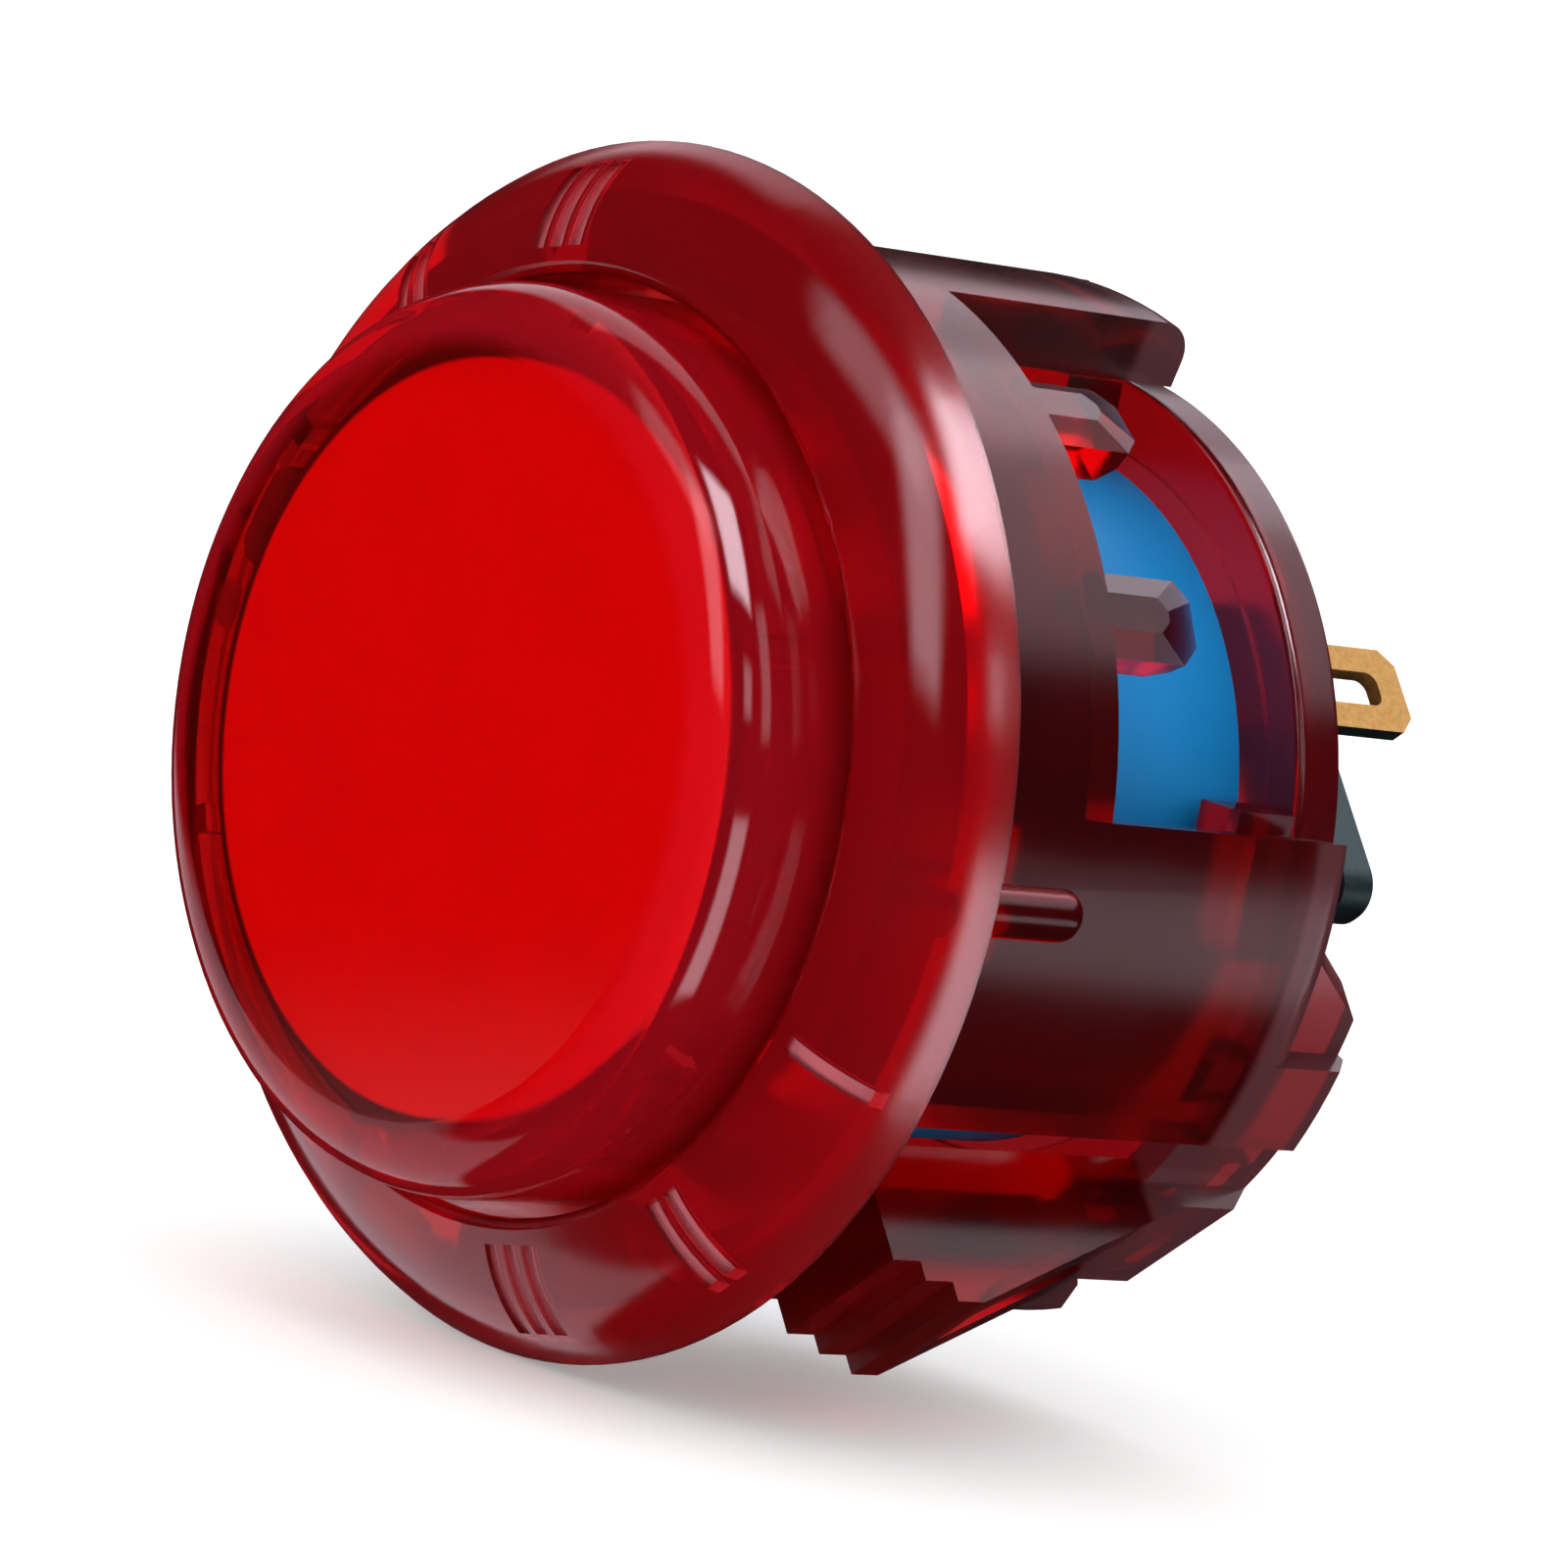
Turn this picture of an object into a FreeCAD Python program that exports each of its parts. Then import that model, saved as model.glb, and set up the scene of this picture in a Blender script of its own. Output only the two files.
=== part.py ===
"""Snap-in arcade push button for a 30 mm panel hole, in millimetres.

The button looks along -Y: its plunger is in front and its terminals behind.
The origin is the centre of the seat under the bezel, where the panel's face lies.
Every piece is drawn with its depth along Z, the snap clips along X and the side windows along Y.
The finished piece is then laid over, so that depth runs along +Y.
"""
import FreeCAD, Part
import math
import os

V = FreeCAD.Vector
AXIS = V(0, 0, 1)
CENTRE = V(0, 0, 0)

# How the button lies: the angle from +Z to the first snap clip, seen from behind
lie_angle = 140.7

# Barrel and bezel, whose radii are worked out from the switch outwards
barrel_wall = 1.9
bezel_overhang = 2.05
bezel_height = 2.6
bezel_bulge = 0.55
bezel_lip_round = 0.35
band_end = 5.5
wall_end = 15.0
wall_end_round = 1.1

# Side windows, and the two pegs in each of them
window_half_angle = 33.8
peg_angle = 12.8
peg_shift_angle = -1.4
peg_width = 2.4
peg_thickness = 1.6
peg_length = 3.5
peg_root = 0.3
peg_corner = 0.55
peg_slant = 1.0
peg_crown_height = 0.45
peg_crown_side = 0.7
peg_crown_tip = 1.3
peg_crown_corner = 0.35

# Snap clips
clip_pocket_half_angle = 20.2
clip_pocket_start = 2.2
clip_width = 4.7
clip_arm_thickness = 1.4
clip_front = 3.0
clip_first_tooth = 3.55
clip_tooth_rise = 0.58
clip_tooth_run = 0.97
clip_teeth = 3
clip_slope_end = 14.6
clip_core_width = 1.7
clip_core_depth = 0.45
clip_core_margin = 0.12
clip_core_draft = 0.1

# Bridge behind each clip, which ties the clip to the walls beside it
bridge_start = 13.4
bridge_end = 17.3
bridge_thickness = 0.95
bridge_half_width = 9.5
bridge_chamfer = 1.4
land_half_angle = 31.0
land_round = 0.7
hook_lip_half_angle = 12.0
hook_lip_depth = 1.05

# Ribs that carry the rear base from the front
seat_rib_angle = 26.0
seat_rib_half_angle = 3.0
seat_rib_depth = 1.0
seat_rib_length = 2.4

# Key beads behind the bezel
bead_angle = 46.1
bead_radius = 0.75
bead_length = 4.9
bead_sink = 0.1

# Setting marks on the bezel
mark_pitch_angle = 27.0
mark_width = 0.5
mark_spacing = 0.78
mark_depth = 0.35
mark_inner_margin = 0.75
mark_outer_margin = 0.8

# Plunger
travel = 3.2
cap_clearance = 0.4
cap_front = 6.3
cap_rim_round = 2.0
cap_wall = 1.0
cap_top = 2.0
cap_skirt_end = 2.6
cap_rib_count = 6
cap_rib_angle = -13.7
cap_rib_width = 0.8
cap_rib_depth = 0.4
disc_edge_gap = 0.95
disc_thickness = 1.2
tab_width = 3.0
tab_chamfer = 0.4
tab_half_gap = 0.1
seat_gap = 0.05
core_plate = 1.4
core_skirt_wall = 0.8
core_hook_angle = 45.0
core_hook_half_angle = 9.0
core_hook_length = 0.85
hook_side_gap = 4.0
boss_radius = 3.0
boss_length = 1.45

# Rear base
flange_clearance = 0.45
flange_start = 14.65
flange_thickness = 1.65
flange_round = 0.25
lug_angle = 40.3
lug_width = 3.9
lug_radial = 1.6
lug_length = 2.1
ring_boss_wall = 0.85
rear_recess_wall = 2.1
rear_recess_depth = 0.35
foot_post_half_length = 2.0
foot_post_wall = 0.7

# Switch tower
tower_wall = 1.15
tower_front = 2.2
tower_lid = 1.1
tower_hole_radius = 3.6
tower_rim_step = 0.5
tower_running_gap = 0.1
tower_rim_length = 0.8
front_cushion_thickness = 0.65
stop_cushion_thickness = 0.35
stop_cushion_inset = 0.5
stop_cushion_width = 2.2

# Key switch inside the tower
switch_side = 11.6
switch_round = 1.2
switch_wall = 1.2
upper_case_height = 3.8
upper_case_taper = 1.0
lower_case_height = 5.4
switch_floor = 0.8
stem_side = 4.2
stem_clearance = 0.25
stem_round = 0.4
stem_flange_side = 5.2
stem_flange_round = 0.6
stem_flange_thickness = 1.4
stem_pole_radius = 0.8
stem_pole_length = 2.4
cross_span = 4.0
cross_bar = 1.2
cross_depth = 2.0
spring_radius = 1.75
spring_wire = 0.4
spring_flats = 8
spring_turns = 5
contact_thickness = 0.25
contact_width = 2.6
contact_offset = 3.2
contact_fold = 0.45
leaf_height = 3.2
fixed_contact_height = 3.45
contact_point_radius = 0.5
contact_point_length = 0.3
contact_point_height = 2.3
pin_width = 1.0

# Circuit board, screws and terminals
board_margin = 0.15
board_clearance = 0.35
board_thickness = 1.0
board_gap = 0.1
screw_gap = 0.35
screw_head_radius = 1.15
screw_head_height = 0.8
screw_radius = 0.6
screw_depth = 1.9
terminal_gap = 1.2
terminal_thickness = 0.5
terminal_leg_width = 2.0
foot_front = 19.8
foot_height = 1.15
foot_short_side = 3.0
foot_long_side = 6.9
foot_thickness = 2.2
foot_round = 1.0
blade_width = 2.7
blade_shift = -0.15
blade_length = 3.75
blade_chamfer = 0.5
blade_slot_width = 1.08
blade_slot_length = 2.4
blade_slot_round = 0.38
blade_slot_inset = 0.97
solder_height = 0.45
solder_rim = 0.5
terminal_solder_rim = 0.35
terminal_solder_chamfer = 0.25
fit_gap = 0.1

# Worked out from the sizes above
screw_offset = switch_side / 2 + screw_gap + screw_head_radius
board_radius = screw_offset + screw_head_radius + board_margin
terminal_offset = switch_side / 2 + terminal_gap
tower_inner_radius = board_radius + board_clearance
tower_radius = tower_inner_radius + tower_wall
tower_rim_radius = tower_radius + tower_rim_step
core_skirt_inner = tower_rim_radius + tower_running_gap
core_skirt_radius = core_skirt_inner + core_skirt_wall
cap_inner_radius = core_skirt_radius + seat_gap
cap_radius = cap_inner_radius + cap_wall
bore_radius = cap_radius + cap_clearance
barrel_radius = bore_radius + barrel_wall
bezel_radius = barrel_radius + bezel_overhang
bridge_radius = bore_radius + bridge_thickness
seat_rib_radius = bore_radius - seat_rib_depth
hook_lip_radius = bore_radius - hook_lip_depth
mark_inner_radius = bore_radius + mark_inner_margin
mark_outer_radius = bezel_radius - mark_outer_margin
flange_radius = bore_radius - flange_clearance
rear_recess_radius = flange_radius - rear_recess_wall
disc_radius = cap_inner_radius - disc_edge_gap
stop_cushion_outer = tower_radius - stop_cushion_inset
stop_cushion_inner = stop_cushion_outer - stop_cushion_width
disc_front = -cap_front + cap_top + seat_gap
disc_back = disc_front + disc_thickness
core_front = disc_back + seat_gap
core_back = core_front + core_plate
tower_lid_back = tower_front + tower_lid
front_cushion_back = tower_front + tower_rim_length + front_cushion_thickness
hook_front = front_cushion_back + seat_gap
hook_back = hook_front + core_hook_length
hook_radius = (tower_radius + tower_rim_radius) / 2 - seat_gap
boss_back = core_back + boss_length
flange_back = flange_start + flange_thickness
foot_back = foot_front + foot_height
upper_case_front = tower_lid_back + fit_gap
switch_split = upper_case_front + upper_case_height
switch_back = switch_split + lower_case_height
board_front = switch_back + board_gap
board_back = board_front + board_thickness
stem_flange_front = upper_case_front + switch_wall + fit_gap
stem_flange_back = stem_flange_front + stem_flange_thickness
spring_back = switch_back - switch_floor
switch_room_side = switch_side - 2 * upper_case_taper - 2 * switch_wall


def ring(inner, outer, start, end):
    """A plain ring, or a disc where the inner radius is nothing."""
    body = Part.makeCylinder(outer, end - start, V(0, 0, start))
    if inner > 0:
        body = body.cut(Part.makeCylinder(inner, end - start, V(0, 0, start)))
    return body


def profile_face(points):
    """A flat face in the plane of radius and depth."""
    corners = [V(radius, 0, depth) for radius, depth in points]
    return Part.Face(Part.makePolygon(corners + corners[:1]))


def turned(shape, angle):
    """A copy turned about the button's axis."""
    copy = shape.copy()
    copy.rotate(CENTRE, AXIS, angle)
    return copy


def sector(points, middle, half_angle):
    """A profile swept round the axis, half_angle to each side of a middle angle."""
    swept = profile_face(points).revolve(CENTRE, AXIS, 2 * half_angle)
    return turned(swept, middle - half_angle)


def ring_sector(inner, outer, start, end, middle, half_angle):
    corners = [(inner, start), (outer, start), (outer, end), (inner, end)]
    return sector(corners, middle, half_angle)


def side_prism(points, width):
    """A profile of radius and depth, extruded evenly to both sides of the clip's middle plane."""
    face = profile_face(points)
    face.translate(V(0, -width / 2, 0))
    return face.extrude(V(0, width, 0))


def front_prism(points, start, end):
    """An outline across the clip, given as offset and depth, extruded along the radius."""
    corners = [V(start, offset, depth) for offset, depth in points]
    return Part.Face(Part.makePolygon(corners + corners[:1])).extrude(V(end - start, 0, 0))


def rounded_block(side, start, end, radius):
    block = Part.makeBox(side, side, end - start, V(-side / 2, -side / 2, start))
    edges = [edge for edge in block.Edges if abs(edge.tangentAt(0).z) > 0.9]
    return block.makeFillet(radius, edges)


def cross_prism(span, bar, start, end):
    length = end - start
    across = Part.makeBox(span, bar, length, V(-span / 2, -bar / 2, start))
    return across.fuse(Part.makeBox(bar, span, length, V(-bar / 2, -span / 2, start))).removeSplitter()


def dome_arc(inset):
    """The bezel's front from its lip to its rim, moved inwards by inset."""
    lip = V(bore_radius + bezel_lip_round, 0, -bezel_height)
    rim = V(bezel_radius, 0, 0)
    run = rim - lip
    outward = V(-run.z, 0, run.x) * (-1 / run.Length)
    middle = (lip + rim) * 0.5 + outward * bezel_bulge
    shift = outward * -inset
    return Part.Arc(lip + shift, middle + shift, rim + shift).toShape()


def housing_blank():
    """Bezel, barrel and bore as one turned form."""
    dome = dome_arc(0)
    lip = dome.Vertexes[0].Point
    rim = dome.Vertexes[1].Point
    bend = bezel_lip_round * (1 - math.sqrt(0.5))
    lip_arc = Part.Arc(V(bore_radius, 0, -bezel_height + bezel_lip_round),
                       V(bore_radius + bend, 0, -bezel_height + bend), lip).toShape()
    corner = wall_end_round * (1 - math.sqrt(0.5))
    end_arc = Part.Arc(V(barrel_radius, 0, wall_end - wall_end_round),
                       V(barrel_radius - corner, 0, wall_end - corner),
                       V(barrel_radius - wall_end_round, 0, wall_end)).toShape()
    back = Part.makePolygon([rim, V(barrel_radius, 0, 0), V(barrel_radius, 0, wall_end - wall_end_round)])
    inside = Part.makePolygon([V(barrel_radius - wall_end_round, 0, wall_end), V(bore_radius, 0, wall_end),
                               V(bore_radius, 0, -bezel_height + bezel_lip_round)])
    outline = Part.Wire([lip_arc, dome] + back.Edges + [end_arc] + inside.Edges)
    return Part.Face(outline).revolve(CENTRE, AXIS, 360)


def peg_outline(side_inset, tip_inset, corner, radius):
    """The outline of a peg, drawn in from its sides and its tip, at one radius."""
    half = peg_width / 2 - side_inset
    tip = band_end + peg_length - tip_inset
    root = band_end - peg_root
    points = [(-half, root), (-half, tip - corner), (-half + corner, tip), (half - corner, tip),
              (half, tip - corner), (half, root)]
    corners = [V(radius, offset, depth) for offset, depth in points]
    return Part.makePolygon(corners + corners[:1])


def window_peg():
    """A flat peg on the rear edge of the band, its outer edges and its tip cut to long facets."""
    inside = barrel_radius - peg_thickness
    shoulder = barrel_radius - peg_crown_height
    crest = barrel_radius - seat_gap / 2
    root = band_end - peg_root
    tip = band_end + peg_length
    foot = Part.Face(peg_outline(0, 0, peg_corner, inside)).extrude(V(shoulder - inside, 0, 0))
    crown = Part.makeLoft([peg_outline(0, 0, peg_corner, shoulder),
                           peg_outline(peg_crown_side, peg_crown_tip, peg_crown_corner, crest)], True, True)
    side = side_prism([(inside, root), (barrel_radius, root), (barrel_radius, tip), (shoulder, tip),
                       (inside, tip - peg_slant)], peg_width)
    return foot.fuse(crown).common(side).removeSplitter()


def snap_clip():
    """The springy arm with its stair of teeth and its long outer slope, along +X."""
    arm_inside = bore_radius + seat_gap
    arm_outside = arm_inside + clip_arm_thickness
    stair = []
    depth = clip_front
    radius = bore_radius + clip_first_tooth
    for tooth in range(clip_teeth):
        stair += [(radius, depth), (radius, depth + clip_tooth_run)]
        depth += clip_tooth_run
        radius += clip_tooth_rise
    outline = [(arm_inside, clip_front)] + stair
    outline += [(arm_outside, clip_slope_end), (arm_outside, bridge_end - land_round),
                (arm_outside - land_round, bridge_end), (arm_inside, bridge_end)]
    clip = side_prism(outline, clip_width)
    crest = V(stair[-1][0], 0, stair[-1][1])
    foot = V(arm_outside, 0, clip_slope_end)
    slope = foot - crest
    inward = V(-slope.z, 0, slope.x).normalize()
    start = crest + slope * clip_core_margin
    end = crest + slope * (1 - clip_core_margin)
    draft = slope * clip_core_draft
    sink = inward * clip_core_depth
    corners = [start, start - sink, end - sink, end, end - draft + sink, start + draft + sink]
    core = side_prism([(corner.x, corner.z) for corner in corners], clip_core_width)
    return clip.cut(core)


def clip_bridge():
    """The band behind one clip, with chamfered ends, raised lands and the lip that holds the base."""
    outline = [(-bridge_half_width, bridge_start), (-bridge_half_width, wall_end),
               (bridge_chamfer - bridge_half_width, bridge_end),
               (bridge_half_width - bridge_chamfer, bridge_end), (bridge_half_width, wall_end),
               (bridge_half_width, bridge_start)]
    band = ring(bore_radius, bridge_radius, bridge_start, bridge_end)
    bridge = band.common(front_prism(outline, bore_radius / 2, bezel_radius))
    land = [(bore_radius, bridge_start), (barrel_radius, bridge_start),
            (barrel_radius, bridge_end - land_round), (barrel_radius - land_round, bridge_end),
            (bore_radius, bridge_end)]
    land_middle = (clip_pocket_half_angle + land_half_angle) / 2
    land_half = (land_half_angle - clip_pocket_half_angle) / 2
    for side in (-1, 1):
        bridge = bridge.fuse(sector(land, side * land_middle, land_half))
    lip_front = flange_back + seat_gap
    lip = [(hook_lip_radius, lip_front), (bridge_radius - seat_gap, lip_front),
           (bridge_radius - seat_gap, bridge_end),
           (hook_lip_radius + (bridge_end - lip_front) / 2, bridge_end)]
    return bridge.fuse(sector(lip, 0, hook_lip_half_angle))


def setting_marks():
    """One, two and three engraved strokes beside each clip, cut along the slope of the bezel."""
    arc = dome_arc(mark_depth)
    inner = arc.Vertexes[0].Point
    outer = arc.Vertexes[1].Point
    fill = Part.makePolygon([outer, V(outer.x, 0, bezel_height), V(inner.x, 0, bezel_height), inner])
    core = Part.Face(Part.Wire([arc] + fill.Edges)).revolve(CENTRE, AXIS, 360)
    length = mark_outer_radius - mark_inner_radius
    stroke = Part.makeBox(length, mark_width, 2 * bezel_height,
                          V(mark_inner_radius, -mark_width / 2, -2 * bezel_height))
    stroke = stroke.cut(core)
    strokes = []
    for count in (1, 2, 3):
        for number in range(count):
            one = stroke.copy()
            one.translate(V(0, (number - (count - 1) / 2) * mark_spacing, 0))
            for side in (0, 180):
                strokes.append(turned(one, (count - 2) * mark_pitch_angle + side))
    return strokes


def make_housing():
    """The bezel, barrel, pegs, clips and bridges are one moulding."""
    body = housing_blank()
    cut_inner = bore_radius - 2 * cap_clearance
    cut_end = wall_end + wall_end_round
    openings = []
    pegs = []
    clips = []
    for side in (0, 180):
        openings.append(ring_sector(cut_inner, bezel_radius, band_end, cut_end, side - 90,
                                    window_half_angle))
        openings.append(ring_sector(cut_inner, bezel_radius, clip_pocket_start, cut_end, side,
                                    clip_pocket_half_angle))
        for offset in (-peg_angle, peg_angle):
            pegs.append(turned(window_peg(), side - 90 + peg_shift_angle + offset))
        clips.append(turned(clip_bridge().fuse(snap_clip()), side))
        for rib_angle in (-seat_rib_angle, seat_rib_angle):
            rib_back = flange_start - seat_gap
            rib_front = rib_back - seat_rib_length
            rib = [(bore_radius + seat_gap, rib_front), (seat_rib_radius, rib_front + seat_rib_length / 2),
                   (seat_rib_radius, rib_back), (bore_radius + seat_gap, rib_back)]
            pegs.append(sector(rib, side + rib_angle, seat_rib_half_angle))
        bead_centre = barrel_radius - bead_sink
        straight = bead_length - bead_radius
        bead = Part.makeCylinder(bead_radius, straight, V(bead_centre, 0, 0))
        bead = bead.fuse(Part.makeSphere(bead_radius, V(bead_centre, 0, straight)))
        bead = bead.cut(Part.makeCylinder(bore_radius + barrel_wall / 2, bead_length))
        pegs.append(turned(bead, side - bead_angle))
    body = body.cut(Part.makeCompound(openings))
    body = body.multiFuse(pegs + clips).removeSplitter()
    return body.cut(Part.makeCompound(setting_marks()))


def make_plunger_cap():
    """Clear cap with a thick face, a well rounded rim and a skirt that runs in the bore."""
    outer = ring(0, cap_radius, -cap_front, cap_skirt_end)
    rim = [edge for edge in outer.Edges if abs(edge.BoundBox.ZMax + cap_front) < seat_gap]
    outer = outer.makeFillet(cap_rim_round, rim)
    inner = ring(0, cap_inner_radius, -cap_front + cap_top, cap_skirt_end)
    cap = outer.cut(inner)
    rib_end = disc_back
    rib_start = -cap_front + cap_top
    for number in range(cap_rib_count):
        rib = Part.makeBox(cap_rib_depth + cap_wall / 2, cap_rib_width, rib_end - rib_start,
                           V(cap_inner_radius - cap_rib_depth, -cap_rib_width / 2, rib_start))
        cap = cap.fuse(turned(rib, cap_rib_angle + number * 360 / cap_rib_count))
    return cap.removeSplitter()


def make_plunger_disc():
    """Bright disc under the cap, with two pointer tabs that reach the cap's wall."""
    disc = ring(0, disc_radius, disc_front, disc_back)
    reach = cap_inner_radius - tab_half_gap
    half = tab_width / 2
    for side in (-mark_pitch_angle, 180 - mark_pitch_angle):
        corners = [V(0, -half, disc_front), V(reach - tab_chamfer, -half, disc_front),
                   V(reach, -half + tab_chamfer, disc_front), V(reach, half - tab_chamfer, disc_front),
                   V(reach - tab_chamfer, half, disc_front), V(0, half, disc_front)]
        tab = Part.Face(Part.makePolygon(corners + corners[:1])).extrude(V(0, 0, disc_thickness))
        disc = disc.fuse(turned(tab, side))
    return disc.common(ring(0, reach, disc_front, disc_back)).removeSplitter()


def make_plunger_core():
    """Carrier under the disc: a plate, a skirt round the tower with four hooks, and the stem socket."""
    plate = ring(0, core_skirt_radius, core_front, core_back)
    skirt = ring(core_skirt_inner, core_skirt_radius, core_front, front_cushion_back)
    boss = ring(0, boss_radius, core_front, boss_back)
    core = plate.fuse(skirt).fuse(boss)
    gap_start = core_back + core_skirt_wall
    gap_half_angle = 90 - core_hook_angle - core_hook_half_angle - hook_side_gap
    gap = ring_sector(core_skirt_inner - seat_gap, core_skirt_radius + seat_gap, gap_start,
                      hook_back, 0, gap_half_angle)
    hook = [(core_skirt_inner, gap_start), (core_skirt_radius, gap_start), (core_skirt_radius, hook_back),
            (core_skirt_inner, hook_back), (hook_radius, hook_back - core_hook_length / 2),
            (hook_radius, hook_front), (core_skirt_inner, hook_front)]
    for number in range(4):
        core = core.cut(turned(gap, number * 90))
        core = core.fuse(sector(hook, core_hook_angle + number * 90, core_hook_half_angle))
    socket = cross_prism(cross_span, cross_bar, boss_back - cross_depth, boss_back)
    return core.removeSplitter().cut(socket)


def make_switch_stem():
    """Cross-headed stem of the key switch, with the pole that guides its spring."""
    cross = cross_prism(cross_span, cross_bar, boss_back - cross_depth, boss_back)
    neck = rounded_block(stem_side, boss_back, stem_flange_front, stem_round)
    flange = rounded_block(stem_flange_side, stem_flange_front, stem_flange_back, stem_flange_round)
    pole = ring(0, stem_pole_radius, stem_flange_back, stem_flange_back + stem_pole_length)
    return cross.fuse(neck).fuse(flange).fuse(pole).removeSplitter()


def make_switch_spring():
    """Coil spring between the stem and the floor of the switch. Flats on its wire keep the mesh light."""
    wire = spring_wire / 2
    length = spring_back - stem_flange_back - 2 * wire - 2 * seat_gap
    helix = Part.makeHelix(length / spring_turns, length, spring_radius)
    corners = []
    for number in range(spring_flats):
        angle = 2 * math.pi * (number + 0.5) / spring_flats
        corners.append(V(spring_radius + wire * math.cos(angle), 0, wire * math.sin(angle)))
    section = Part.makePolygon(corners + corners[:1])
    coil = Part.Wire(helix.Edges).makePipeShell([section], True, True)
    coil.translate(V(0, 0, stem_flange_back + wire + seat_gap))
    return coil


def make_switch_upper_case():
    """Front half of the switch's case, tapered, with the square hole that the stem slides in."""
    front = square_wire(switch_side - 2 * upper_case_taper, upper_case_front)
    shell = Part.makeLoft([front, square_wire(switch_side, switch_split)], True)
    room = rounded_block(switch_room_side, upper_case_front + switch_wall, switch_split,
                         stem_flange_round)
    hole = rounded_block(stem_side + 2 * stem_clearance, upper_case_front, switch_split, stem_round)
    return shell.cut(room).cut(hole)


def square_wire(side, depth):
    """A square outline with rounded corners."""
    face = rounded_block(side, depth, depth + switch_wall, switch_round)
    lowest = min(face.Faces, key=lambda one: one.CenterOfMass.z)
    return lowest.OuterWire


def make_switch_lower_case():
    """Rear half of the switch's case, open to the front, with slots for its two contacts."""
    body = rounded_block(switch_side, switch_split, switch_back, switch_round)
    body = body.cut(rounded_block(switch_room_side, switch_split, spring_back, stem_flange_round))
    for side in (-1, 1):
        slot = Part.makeBox(contact_thickness + 2 * seat_gap, pin_width + 2 * seat_gap, switch_floor,
                            V(side * contact_offset - contact_thickness / 2 - seat_gap,
                              -pin_width / 2 - seat_gap, switch_back - switch_floor))
        body = body.cut(slot)
    return body


def contact_strip(height):
    """A strip with a narrow pin that reaches through the circuit board."""
    strip = Part.makeBox(contact_thickness, contact_width, height,
                         V(-contact_thickness / 2, -contact_width / 2, spring_back - height))
    pin = Part.makeBox(contact_thickness, pin_width, board_back + solder_height + fit_gap - spring_back,
                       V(-contact_thickness / 2, -pin_width / 2, spring_back))
    return strip.fuse(pin)


def make_fixed_contact():
    """Upright contact on the far side of the spring, with a raised contact point."""
    point = Part.makeCylinder(contact_point_radius, contact_point_length,
                              V(-contact_thickness / 2, 0, spring_back - contact_point_height), V(-1, 0, 0))
    contact = contact_strip(fixed_contact_height).fuse(point)
    contact.translate(V(contact_offset, 0, 0))
    return contact.removeSplitter()


def make_contact_leaf():
    """Springy contact, folded once at its top, that closes the circuit as the stem goes by."""
    fold = Part.makeBox(contact_fold, contact_width, contact_thickness,
                        V(contact_thickness / 2 - contact_fold, -contact_width / 2,
                          spring_back - leaf_height))
    leaf = contact_strip(leaf_height).fuse(fold)
    leaf.translate(V(-contact_offset, 0, 0))
    return leaf.removeSplitter()


def make_switch_tower():
    """Round carrier of the switch: a lid with a rim that the hooks catch behind, and a long wall."""
    tower = ring(tower_inner_radius, tower_radius, tower_front, flange_start)
    lid = ring(tower_hole_radius, tower_radius, tower_front, tower_lid_back)
    rim = ring(tower_inner_radius, tower_rim_radius, tower_front, tower_front + tower_rim_length)
    return tower.fuse(lid).fuse(rim).removeSplitter()


def make_front_cushion():
    """Soft ring behind the tower's rim, which the hooks come back against."""
    start = tower_front + tower_rim_length
    return ring(tower_radius, tower_rim_radius, start, front_cushion_back)


def make_stop_cushion():
    """Soft ring on the tower's lid, which takes the end of the stroke."""
    return ring(stop_cushion_inner, stop_cushion_outer, tower_front - stop_cushion_thickness, tower_front)


def terminal_slot(start, end):
    slot = Part.makeBox(terminal_leg_width + 2 * seat_gap, terminal_thickness + 2 * seat_gap, end - start,
                        V(-terminal_leg_width / 2 - seat_gap,
                          -terminal_offset - terminal_thickness / 2 - seat_gap, start))
    return [slot, turned(slot, 180)]


def make_rear_base():
    """Flange that closes the barrel, with four lugs, a seat for the board and posts under the terminals."""
    flange = ring(0, flange_radius, flange_start, flange_back)
    rims = [edge for edge in flange.Edges if edge.BoundBox.XMax > flange_radius - seat_gap
            and edge.BoundBox.ZLength < seat_gap]
    base = flange.makeFillet(flange_round, rims)
    base = base.cut(ring(0, rear_recess_radius, flange_back - rear_recess_depth, flange_back))
    seat_outer = min(tower_inner_radius - seat_gap, board_radius + ring_boss_wall / 2)
    base = base.fuse(ring(seat_outer - ring_boss_wall, seat_outer, board_back, flange_start))
    pieces = []
    for number in range(4):
        lug = Part.makeBox(lug_radial, lug_width, lug_length,
                           V(flange_radius - lug_radial - flange_round, -lug_width / 2,
                             flange_start - lug_length))
        pieces.append(turned(lug, lug_angle + number * 90))
    for side in (0, 180):
        pillar = Part.makeCylinder(screw_head_radius, flange_start - board_back,
                                   V(screw_offset, 0, board_back))
        pieces.append(turned(pillar, side))
        floor = flange_back - rear_recess_depth
        post_width = terminal_thickness + 2 * foot_post_wall
        post = Part.makeBox(2 * foot_post_half_length, post_width, foot_front - floor,
                            V(-foot_post_half_length, -terminal_offset - post_width / 2, floor))
        pieces.append(turned(post, side))
    base = base.multiFuse(pieces).removeSplitter()
    cuts = terminal_slot(board_back, foot_front)
    for side in (0, 180):
        pilot = Part.makeCylinder(screw_radius, screw_depth, V(screw_offset, 0, board_back))
        cuts.append(turned(pilot, side))
        room = Part.makeCylinder(pin_width / 2 + solder_rim + fit_gap, solder_height + 2 * fit_gap,
                                 V(contact_offset, 0, board_back))
        cuts.append(turned(room, side))
    return base.cut(Part.makeCompound(cuts))


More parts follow.
